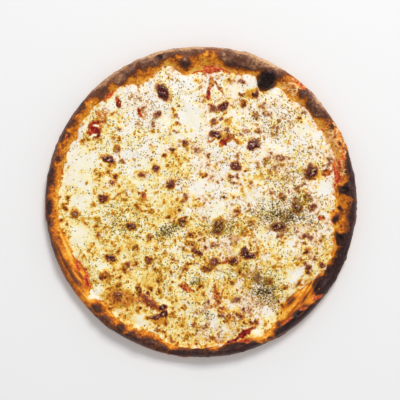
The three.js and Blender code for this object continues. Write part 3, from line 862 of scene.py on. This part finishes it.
def scorch_marks(flat, x, y):
    """Browning, golden tone and height of the flat browned marks."""
    browning, golden, dome = np.zeros((3, *x.shape))
    paler, paler_width = PALER_MIDDLE
    for *disc, darkness in SCORCHES:
        away = patch(x, y, *disc)
        size = min(disc[2], SCORCH_WIDEST_RISE)
        ringed = 1 - paler * np.exp(-(away / paler_width) ** 2)
        browning = np.maximum(browning, (darkness + SCORCH_DEEPER) * fade(away, *SCORCH_EDGE) * ringed)
        dome = np.maximum(dome, SCORCH_RISE * size * np.clip(1 - away ** 2, 0, None))
        if darkness < GOLDEN_MARK:
            golden = np.maximum(golden, fade(away, *GOLDEN_EDGE))
    return browning * (1 + uneven(flat, SCORCH_LUMPS)), golden, dome


def cheese_fields(x, y, depth_in):
    """Browning, char, sauce, smoothness, yellowness, oregano and blister height over the cheese."""
    flat = np.stack([x, y, np.zeros_like(x)], -1)
    shift_x = uneven(flat, CHEESE_SHIFT_X)
    near_x, near_y = x + shift_x, y + uneven(flat, CHEESE_SHIFT_Y)
    calm = calmness(near_x + uneven(flat, CALM_SHIFT_X), near_y + uneven(flat, CALM_SHIFT_Y))
    calm = calm * ease(uneven(flat, CALM_GAPS), *CALM_GAP_LEVELS)
    browning, mellow = cheese_tones(flat, near_x, near_y, calm)
    herbs = herb_thickness(flat, near_x, near_y)
    crowded = ease(herbs, *HERBS_CROWDED)
    spots = SPOT_DEEPER * spotted(x, y) * (1 - SPOTS_HIDDEN * calm) * (1 - SPOTS_HIDDEN * crowded)
    browning = browning + spots
    char, core, ring, dome = blister_marks(near_x, near_y)
    scorched, golden, scorch_dome = scorch_marks(flat, near_x, near_y)
    browning = np.max([browning, ring, scorched], axis=0)
    dome = np.maximum(dome, scorch_dome)
    for *oval, amber in AMBER_PATCHES:
        share = fade(patch(near_x, near_y, *oval), *AMBER_EDGE)
        browning = browning + (np.maximum(browning, amber) - browning) * share
        golden = np.maximum(golden, share)
        calm = np.maximum(calm, AMBER_CALM * share)
    red = [redness * fade(patch(near_x, near_y, *oval), *RED_EDGE) for *oval, redness in RED_PATCHES]
    red = np.max(red, axis=0)
    for oval in PALE_STRINGS:
        string = fade(patch(near_x, near_y, *oval), *PALE_STRING_EDGE)
        red = red * (1 - string)
        calm = np.maximum(calm, string)
        mellow = mellow - string
        browning = browning * (1 - STRINGS_PALER * string)
        dome = np.maximum(dome, PALE_STRING_RISE * string)
    browning = browning + HERB_STAIN * np.clip(herbs - HERB_GROUND, 0, HERB_STAIN_MOST) * (1 - calm)
    toasted_edge = EDGE_TOAST * fade(depth_in + TOAST_WANDER * shift_x, *TOAST_INSIDE)
    bare = (1 - HERBS_OFF_CALM * calm) * (1 - HERBS_OFF_CHAR * char)
    bare = bare * np.clip(1 - HERBS_OFF_RED * red, 0, 1)
    return {
        "browning": np.maximum(browning, toasted_edge),
        "char": char,
        "core": core,
        "red": red,
        "calm": np.maximum(calm, CROWDED_CALM * crowded),
        "mellow": mellow + golden,
        "herbs": np.clip(herbs, *HERB_LIMITS) * bare * ease(depth_in, *RELIEF_INSIDE),
        "dome": dome,
    }


def swell(x, y):
    """Low swells of the melted sheet, as in the solids."""
    height, (length_x, turn_x), (length_y, turn_y) = BROAD_SWELL
    broad = height * np.sin(x / length_x + turn_x) * np.sin(y / length_y + turn_y)
    height, (length, turn) = CROSS_SWELL
    return broad + height * np.sin((x + y) / length + turn)


def cheese_surface():
    """Points of the cheese's upper side on an even grid, with its painted fields."""
    grid_x, grid_y = disc_grid(CHEESE_SIDE)
    degrees = np.degrees(np.arctan2(grid_y, grid_x))
    round_edge = spun(np.full_like(grid_x, CHEESE_RADIUS), 0, degrees)
    edge = cheese_edge(degrees) + uneven(round_edge, EDGE_LUMPS)
    radius = np.hypot(grid_x, grid_y) * edge
    flat = spun(radius, 0, degrees)
    x, y = flat[..., 0], flat[..., 1]
    depth_in = edge - radius
    fields = cheese_fields(x, y, depth_in)
    lip = LIP_HEIGHT + (CHEESE_UNDER + CHEESE_THICKNESS - LIP_HEIGHT) * (1 - np.exp(-depth_in / LIP_REACH))
    melt = uneven(flat, MELT_LUMPS) * (1 - CALM_LOWER * fields["calm"]) + BROWNED_RISE * fields["browning"]
    rise = swell(x, y) * ease(depth_in, *SWELL_INSIDE) + melt * ease(depth_in, *RELIEF_INSIDE)
    rise = rise + fields.pop("dome") * (1 + uneven(flat, DOME_LUMPS))
    return spun(radius, dough_height(radius, degrees) + lip + rise, degrees), fields


def cheese_piece(points, fields, material):
    """Cheese sheet: the grid, a rounded lip round its edge and an underside."""
    side = len(points)
    index = np.arange(side * side).reshape(side, side)
    faces = grid_faces(index)
    loop = np.concatenate([index[:-1, 0], index[-1, :-1], index[:0:-1, -1], index[0, :0:-1]])
    count = len(loop)
    rim = points.reshape(-1, 3)[loop]
    outward = rim[:, :2] / np.linalg.norm(rim[:, :2], axis=1, keepdims=True)
    under = BED_HEIGHT + CHEESE_UNDER - LAYER_GAP
    added = [np.column_stack([rim[:, :2] + push * outward, rim[:, 2] - drop]) for push, drop in LIP_SECTION]
    added.append(np.column_stack([rim[:, :2] - LIP_UNDERSIDE * outward, np.full(count, under)]))
    rows = [loop] + [side * side + np.arange(count) + i * count for i in range(len(added))]
    for upper, lower in zip(rows, rows[1:]):
        faces += np.stack([upper, lower, np.roll(lower, -1), np.roll(upper, -1)], -1).tolist()
    middle = side * side + count * len(added)
    faces += [[middle, int(b), int(a)] for a, b in zip(rows[-1], np.roll(rows[-1], -1))]
    every_point = np.concatenate([points.reshape(-1, 3), *added, [[0, 0, under]]])
    lip = {name: np.tile(field.ravel()[loop], len(added)) for name, field in fields.items()}
    whole = {name: np.concatenate([field.ravel(), lip[name], [0]]) for name, field in fields.items()}
    return make_piece("melted_mozzarella", every_point, faces, whole, material)


# Materials and node trees

def feed(node, inputs):
    """Sets or links inputs of a node."""
    for name, value in inputs.items():
        if isinstance(value, bpy.types.NodeSocket):
            node.id_data.links.new(value, node.inputs[name])
        else:
            node.inputs[name].default_value = value


def add(tree, kind, inputs=None, out=0, stops=None, **settings):
    """Adds a node with its settings, feeds its inputs, and gives one of its outputs."""
    node = tree.nodes.new(kind)
    for name, value in settings.items():
        setattr(node, name, value)
    feed(node, inputs or {})
    if stops:
        marks = node.color_ramp.elements
        marks[0].position, marks[0].color = stops[0][0], linear(stops[0][1])
        marks[1].position, marks[1].color = stops[-1][0], linear(stops[-1][1])
        for position, colour in stops[1:-1]:
            marks.new(position).color = linear(colour)
    return node.outputs[out] if len(node.outputs) else None


def per_metre(size):
    """Texture scale for a pattern of a size in millimetres."""
    return 1 / (size * MM)


def new_material(name):
    """Material with its node tree and shader."""
    material = bpy.data.materials.new(name)
    material.use_nodes = True
    return material, material.node_tree, material.node_tree.nodes["Principled BSDF"]


def weighed(tree, start, terms):
    """Sum of a start value and of fields times their weights."""
    total = start
    for field, weight in terms:
        total = add(tree, "ShaderNodeMath", {0: field, 1: weight, 2: total}, operation="MULTIPLY_ADD")
    return total


def ragged(tree, field, noise, wander, low, high):
    """Mask of where a field passes from low to high, with an edge that noise breaks up."""
    moved = weighed(tree, -wander / 2, [(field, 1.0), (noise, wander)])
    limits = {"Value": moved, "From Min": low, "From Max": high}
    return add(tree, "ShaderNodeMapRange", limits, interpolation_type="SMOOTHSTEP")


def coated(tree, ground, coats):
    """Ground colour under coats of colour, each as thick as its mask."""
    colour = ground
    for mask, tint in coats:
        colour = add(tree, "ShaderNodeMix", {0: mask, 6: colour, 7: tint}, out=2, data_type="RGBA")
    return colour


def baked_dough():
    """Baked wheat dough: golden orange and oily on the slope, dark brown and a little glossier where it
    charred, with painted shade on the side of the rim away from the light and a tan and greyish shoulder
    that is partly flour and partly painted sheen.
    """
    material, tree, shader = new_material("baked_wheat_dough")
    place = add(tree, "ShaderNodeTexCoord", out="Object")
    broad, fine, grit, specks = [
        add(tree, "ShaderNodeTexNoise", {
            "Vector": place, "Scale": per_metre(size), "Detail": detail, "Roughness": roughness,
        })
        for size, detail, roughness in DOUGH_GRAIN
    ]
    painted = {
        field: add(tree, "ShaderNodeAttribute", out="Fac", attribute_name=field)
        for field in ("toast", "char", "pale", "red", "stringy", "strings", "flecked", "underside")
    }
    lively = weighed(tree, 1.0, [(painted["char"], -0.3), (painted["stringy"], -0.5)])
    mottle = weighed(tree, -1.0, [(broad, 0.6), (fine, 1.0), (grit, 0.4)])
    ground = weighed(tree, painted["toast"], [(painted["strings"], -0.35)])
    toast = weighed(tree, ground, [(mottle, lively)])
    baked = add(tree, "ShaderNodeValToRGB", {"Fac": toast}, stops=[
        (0.0, "#f9ca60"), (0.14, "#f0a22c"), (0.29, "#db7c20"), (0.43, "#a9561a"),
        (0.56, "#6f3e20"), (0.7, "#482a24"), (0.84, "#301e1f"), (1.0, "#150c0c"),
    ])
    # Grey and tan coat over the lit top of the rim: partly flour, partly painted sheen
    paleness = weighed(tree, 0.0, [(painted["pale"], 0.75), (mottle, 1.1)])
    sheen_and_flour = add(tree, "ShaderNodeValToRGB", {"Fac": paleness}, stops=[
        (0.14, "#5a3630"), (0.3, "#7a5342"), (0.45, "#94664a"), (0.66, "#c8986a"), (0.9, "#deb689"),
    ])
    crumb = add(tree, "ShaderNodeValToRGB", {"Fac": toast}, stops=[
        (0.1, "#d9ab6b"), (0.35, "#bd8446"), (0.55, "#8a5730"), (0.8, "#563722"),
    ])
    ripe = weighed(tree, -0.2, [(fine, 1.0), (painted["red"], 0.2)])
    smear = add(tree, "ShaderNodeValToRGB", {"Fac": ripe}, stops=[
        (0.32, "#f0a062"), (0.43, "#dd6832"), (0.53, "#be4022"), (0.66, "#842416"),
    ])
    colour = coated(tree, baked, [
        (ragged(tree, painted["underside"], fine, 0.5, 0.2, 0.9), crumb),
        (ragged(tree, painted["flecked"], specks, 4.0, 0.75, 1.4), linear("#fac684")),
        (ragged(tree, painted["red"], fine, 1.3, 0.25, 0.85), smear),
        (ragged(tree, painted["pale"], broad, 1.4, 0.1, 0.6), sheen_and_flour),
    ])
    crackle = weighed(tree, 0.0, [(fine, 0.6), (grit, 0.4)])
    bump = add(tree, "ShaderNodeBump", {"Height": crackle, "Strength": 0.7, "Distance": 0.6 * MM})
    gloss = add(tree, "ShaderNodeMapRange", {"Value": toast, "From Min": 0.7, "To Min": 0.45, "To Max": 0.3})
    feed(shader, {"Base Color": colour, "Normal": bump, "Roughness": gloss, "Specular IOR Level": 0.14})
    return material


def tomato_sauce():
    """Cooked tomato sauce: wet red pulp with darker, thicker flecks and orange oil."""
    material, tree, shader = new_material("cooked_tomato_sauce")
    place = add(tree, "ShaderNodeTexCoord", out="Object")
    grain = {"Vector": place, "Scale": per_metre(SAUCE_GRAIN), "Detail": 4.0}
    fine = add(tree, "ShaderNodeTexNoise", grain)
    colour = add(tree, "ShaderNodeValToRGB", {"Fac": fine}, stops=[
        (0.32, "#f09a50"), (0.43, "#e56c34"), (0.54, "#d24a28"), (0.68, "#a02e1a"),
    ])
    bump = add(tree, "ShaderNodeBump", {"Height": fine, "Strength": 0.6, "Distance": 0.6 * MM})
    feed(shader, {"Base Color": colour, "Normal": bump, "Roughness": 0.25, "Specular IOR Level": 0.25})
    return material


def toasted_ground(tree, place, browning, calm):
    """Browning with small ringed spots of toasted cheese, of uneven outline and fewer where it is calm."""
    grain = {"Vector": place, "Scale": per_metre(STIRRED_GRAIN), "Detail": 2.0}
    stirred = add(tree, "ShaderNodeTexNoise", grain, out="Color")
    shifted = {0: stirred, 1: (STIRRED_SHIFT * MM,) * 3, 2: place}
    shifted = add(tree, "ShaderNodeVectorMath", shifted, operation="MULTIPLY_ADD")
    ground = browning
    for spacing, least, most, light, dark in TOASTED_SPOTS:
        near = {"Vector": shifted, "Scale": per_metre(spacing)}
        cells = add(tree, "ShaderNodeTexVoronoi", near, voronoi_dimensions="2D").node.outputs
        chance = add(tree, "ShaderNodeSeparateColor", {0: cells["Color"]}).node.outputs
        crowded = weighed(tree, chance["Red"], [(calm, -0.6)])
        sizes = {"Value": crowded, "From Min": 0.15, "To Min": least / spacing, "To Max": most / spacing}
        reach = add(tree, "ShaderNodeMapRange", sizes)
        inside = {"Value": cells["Distance"], "From Min": reach, "From Max": 0.0}
        inside = add(tree, "ShaderNodeMapRange", inside, interpolation_type="SMOOTHSTEP")
        depth = add(tree, "ShaderNodeMapRange", {"Value": chance["Green"], "To Min": light, "To Max": dark})
        hollow = weighed(tree, 2.5, [(inside, -2.0)])
        ringed = add(tree, "ShaderNodeMath", {0: inside, 1: hollow}, operation="MULTIPLY")
        ground = weighed(tree, ground, [(ringed, depth)])
    return ground


def melted_mozzarella():
    """Melted mozzarella: cream and butter yellow, toasted golden to brown, with glossy charred blisters that
    carry pale flecks and painted glints.
    """
    material, tree, shader = new_material("melted_mozzarella")
    place = add(tree, "ShaderNodeTexCoord", out="Object")
    broad, fine, grit, sponge = [
        add(tree, "ShaderNodeTexNoise", {
            "Vector": place, "Scale": per_metre(size), "Detail": detail, "Roughness": roughness,
        })
        for size, detail, roughness in CHEESE_GRAIN
    ]
    painted = {
        field: add(tree, "ShaderNodeAttribute", out="Fac", attribute_name=field)
        for field in ("browning", "char", "core", "red", "calm", "mellow")
    }
    ground = toasted_ground(tree, place, painted["browning"], painted["calm"])
    lively = weighed(tree, 1.0, [(painted["calm"], -0.7)])
    mottle = weighed(tree, -0.45, [(broad, 0.45), (fine, 0.45)])
    toast = weighed(tree, ground, [(mottle, lively)])
    golden = add(tree, "ShaderNodeValToRGB", {"Fac": toast}, stops=[
        (0.0, "#f7f1dc"), (0.12, "#f9eebe"), (0.22, "#f7e298"), (0.32, "#efc55a"),
        (0.42, "#de9a2c"), (0.54, "#b8681a"), (0.68, "#8a4012"), (0.85, "#57200c"),
    ])
    rosy = add(tree, "ShaderNodeValToRGB", {"Fac": toast}, stops=[
        (0.0, "#f4f1e9"), (0.12, "#f8eede"), (0.22, "#f6e2c6"), (0.32, "#eac594"),
        (0.42, "#d0996e"), (0.54, "#a4664c"), (0.68, "#743e36"), (0.85, "#481c1a"),
    ])
    pulp = weighed(tree, -0.37, [(sponge, 0.9), (fine, 0.6), (painted["red"], 0.25)])
    rust = add(tree, "ShaderNodeValToRGB", {"Fac": pulp}, stops=[
        (0.3, "#eaae4c"), (0.42, "#d4802a"), (0.53, "#ae5a1c"), (0.68, "#70300f"),
    ])
    tomato = add(tree, "ShaderNodeValToRGB", {"Fac": pulp}, stops=[
        (0.36, "#e8915c"), (0.47, "#d4502a"), (0.58, "#ac2a1a"), (0.69, "#7e1812"), (0.82, "#4c0c0a"),
    ])
    # Blister colour runs from dark maroon to a pinkish white end that is partly pale cheese flecks and
    # partly painted glints; the core lifts a blister's middle towards that end
    spongy = weighed(tree, sponge, [(painted["char"], -0.12), (painted["core"], 0.1)])
    blister_flecks_and_glints = add(tree, "ShaderNodeValToRGB", {"Fac": spongy}, stops=[
        (0.34, "#2a0b0e"), (0.45, "#54201c"), (0.53, "#7e4436"), (0.6, "#b98c80"), (0.68, "#eedad4"),
    ])
    toasted = coated(tree, rosy, [(ragged(tree, painted["mellow"], broad, 1.4, 0.0, 0.8), golden)])
    smear = coated(tree, rust, [(ragged(tree, painted["red"], fine, 0.4, 0.55, 0.85), tomato)])
    colour = coated(tree, toasted, [
        (ragged(tree, painted["red"], fine, 0.9, 0.12, 0.5), smear),
        (ragged(tree, painted["char"], fine, 0.8, 0.15, 0.5), linear("#7a341a")),
        (ragged(tree, painted["char"], fine, 1.1, 0.35, 0.75), blister_flecks_and_glints),
    ])
    wrinkles = weighed(tree, 0.0, [(fine, 0.6), (grit, 0.4)])
    bump = add(tree, "ShaderNodeBump", {"Height": wrinkles, "Strength": 0.7, "Distance": 0.7 * MM})
    gloss = add(tree, "ShaderNodeMapRange", {"Value": painted["char"], "To Min": 0.35, "To Max": 0.15})
    feed(shader, {"Base Color": colour, "Normal": bump, "Roughness": gloss, "Specular IOR Level": 0.16})
    return material


def dried_oregano():
    """Dried oregano leaf: crumbled and matt, yellowish olive to dark brown."""
    material, tree, shader = new_material("dried_oregano_leaf")
    shade = add(tree, "ShaderNodeAttribute", out="Fac", attribute_name="shade")
    colour = add(tree, "ShaderNodeValToRGB", {"Fac": shade}, stops=[
        (0.0, "#30261a"), (0.25, "#58452a"), (0.5, "#8c6c2e"), (0.75, "#b8942e"), (1.0, "#d2b540"),
    ])
    feed(shader, {"Base Color": colour, "Roughness": 0.9, "Specular IOR Level": 0.05})
    return material


def flake_tree(material):
    """Scatters crumbled leaf flakes over a surface, more and darker ones where its herbs field is higher."""
    tree = bpy.data.node_groups.new("oregano_flakes", "GeometryNodeTree")
    face = tree.interface
    face.new_socket("Surface", in_out="INPUT", socket_type="NodeSocketGeometry")
    density = face.new_socket("Flakes per square metre", in_out="INPUT", socket_type="NodeSocketFloat")
    length = face.new_socket("Flake length", in_out="INPUT", socket_type="NodeSocketFloat")
    seed = face.new_socket("Seed", in_out="INPUT", socket_type="NodeSocketInt")
    face.new_socket("Flakes", in_out="OUTPUT", socket_type="NodeSocketGeometry")
    given = add(tree, "NodeGroupInput").node.outputs
    herbs = add(tree, "GeometryNodeInputNamedAttribute", {"Name": "herbs"}, data_type="FLOAT")
    thickest = given["Flakes per square metre"]
    thick = add(tree, "ShaderNodeMath", {0: herbs, 1: thickest}, operation="MULTIPLY")
    spread = {"Mesh": given["Surface"], "Density": thick, "Seed": given["Seed"]}
    scattered = add(tree, "GeometryNodeDistributePointsOnFaces", spread).node.outputs
    shades = {2: FLAKE_SHADES[0], 3: FLAKE_SHADES[1], "Seed": 3}
    chance = add(tree, "FunctionNodeRandomValue", shades, out=1, data_type="FLOAT")
    shade = weighed(tree, chance, [(herbs, -DRIFT_DARKER)])
    marked = {"Geometry": scattered["Points"], "Name": "shade", "Value": shade}
    shaded = add(tree, "GeometryNodeStoreNamedAttribute", marked, data_type="FLOAT", domain="POINT")
    leaf = add(tree, "GeometryNodeMeshUVSphere", {"Segments": 4, "Rings": 2, "Radius": 0.5}, out="Mesh")
    thin = add(tree, "GeometryNodeTransform", {"Geometry": leaf, "Scale": FLAKE_FORM})
    tilts = {0: (-FLAKE_TILT, -FLAKE_TILT, 0.0), 1: (FLAKE_TILT, FLAKE_TILT, 2 * math.pi), "Seed": 4}
    lean = add(tree, "FunctionNodeRandomValue", tilts, data_type="FLOAT_VECTOR")
    turn = add(tree, "FunctionNodeEulerToRotation", {0: lean})
    turned = {0: scattered["Rotation"], 1: turn}
    laid = add(tree, "FunctionNodeRotateRotation", turned, rotation_space="LOCAL")
    luck = add(tree, "FunctionNodeRandomValue", {2: 0.0, 3: 1.0, "Seed": 5}, out=1, data_type="FLOAT")
    few_large = add(tree, "ShaderNodeMath", {0: luck, 1: LARGE_FLAKES_RARER}, operation="POWER")
    sizes = {"Value": few_large, "To Min": FLAKE_SIZES[0], "To Max": FLAKE_SIZES[1]}
    share = add(tree, "ShaderNodeMapRange", sizes)
    size = add(tree, "ShaderNodeMath", {0: share, 1: given["Flake length"]}, operation="MULTIPLY")
    flake = {"Points": shaded, "Instance": thin, "Rotation": laid, "Scale": size}
    placed = add(tree, "GeometryNodeInstanceOnPoints", flake)
    real = add(tree, "GeometryNodeRealizeInstances", {0: placed})
    where = add(tree, "GeometryNodeInputPosition")
    grain = {"Vector": where, "Scale": per_metre(FLAKE_CRUMBLE)}
    crumble = add(tree, "ShaderNodeTexNoise", grain, out="Color")
    centred = add(tree, "ShaderNodeVectorMath", {0: crumble, 1: (0.5, 0.5, 0.5)}, operation="SUBTRACT")
    strength = {0: centred, "Scale": FLAKE_CRUMBLE * MM}
    shift = add(tree, "ShaderNodeVectorMath", strength, operation="SCALE")
    crumbled = add(tree, "GeometryNodeSetPosition", {"Geometry": real, "Offset": shift})
    finished = add(tree, "GeometryNodeSetMaterial", {"Geometry": crumbled, "Material": material})
    add(tree, "NodeGroupOutput", {0: finished})
    return tree, density.identifier, length.identifier, seed.identifier


def oregano_piece(points, fields, material):
    """Oregano flakes scattered over the cheese's upper side, as one plain mesh."""
    faces = grid_faces(np.arange(len(points) ** 2).reshape(len(points), -1))
    herbs = {"herbs": fields["herbs"].ravel()}
    bearer = make_piece("oregano_bearer", points.reshape(-1, 3), faces, herbs, material)
    tree, density, length, seed = flake_tree(material)
    modifier = bearer.modifiers.new("oregano", "NODES")
    modifier.node_group = tree
    modifier[density] = float(FLAKES_PER_SQUARE_METRE)
    modifier[length] = FLAKE_LENGTH * MM
    modifier[seed] = FLAKE_SEED
    evaluated = bearer.evaluated_get(bpy.context.evaluated_depsgraph_get())
    mesh = bpy.data.meshes.new_from_object(evaluated)
    bearer.modifiers.remove(modifier)
    bpy.data.objects.remove(bearer)
    mesh.name = "dried_oregano"
    piece = bpy.data.objects.new("dried_oregano", mesh)
    bpy.context.collection.objects.link(piece)
    return piece


# Stage, light and camera

def pale_floor():
    """Pale matt floor, just under the pizza."""
    material, _, shader = new_material("pale_studio_floor")
    feed(shader, {"Base Color": linear("#f1f1f1"), "Roughness": 0.9})
    corners = FLOOR_REACH * np.array([(-1, -1, 0), (1, -1, 0), (1, 1, 0), (-1, 1, 0)])
    return make_piece("floor", corners - (0, 0, FLOOR_DROP), [(0, 1, 2, 3)], {}, material)


def studio():
    """White room with one square soft box that faces the pizza."""
    world = bpy.data.worlds.new("soft_white_room")
    world.use_nodes = True
    feed(world.node_tree.nodes["Background"], {"Color": (1, 1, 1, 1), "Strength": ROOM_LIGHT})
    bpy.context.scene.world = world
    lamp = bpy.data.lights.new("key", "AREA")
    lamp.size = KEY_SIDE
    lamp.energy = KEY_POWER
    box = bpy.data.objects.new("key", lamp)
    box.location = KEY_DISTANCE * Vector(KEY_DIRECTION).normalized()
    box.rotation_euler = (-box.location).to_track_quat("-Z", "Y").to_euler()
    bpy.context.collection.objects.link(box)
    bpy.context.scene.view_settings.view_transform = "Standard"


def camera_above():
    """Camera that looks straight down, framed as in the photograph."""
    scale = PIZZA_RADIUS * MM / PHOTO_RADIUS
    camera = bpy.data.cameras.new("camera")
    camera.lens = LENS
    camera.sensor_width = SENSOR
    eye = bpy.data.objects.new("camera", camera)
    height = PHOTO_SIDE * scale * LENS / SENSOR + RIM_HEIGHT / 2 * MM
    middle = PHOTO_SIDE / 2
    eye.location = ((middle - PHOTO_MIDDLE[0]) * scale, (PHOTO_MIDDLE[1] - middle) * scale, height)
    bpy.context.collection.objects.link(eye)
    bpy.context.scene.camera = eye


def build():
    camera_above()
    studio()
    pale_floor()
    crust = crust_piece(baked_dough())
    sauce = sauce_piece(tomato_sauce())
    surface, fields = cheese_surface()
    cheese = cheese_piece(surface, fields, melted_mozzarella())
    oregano = oregano_piece(surface, fields, dried_oregano())
    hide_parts("crust")
    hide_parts("sauce")
    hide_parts("cheese")
    for piece in (crust, sauce, cheese, oregano):
        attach(piece, "root")


build()
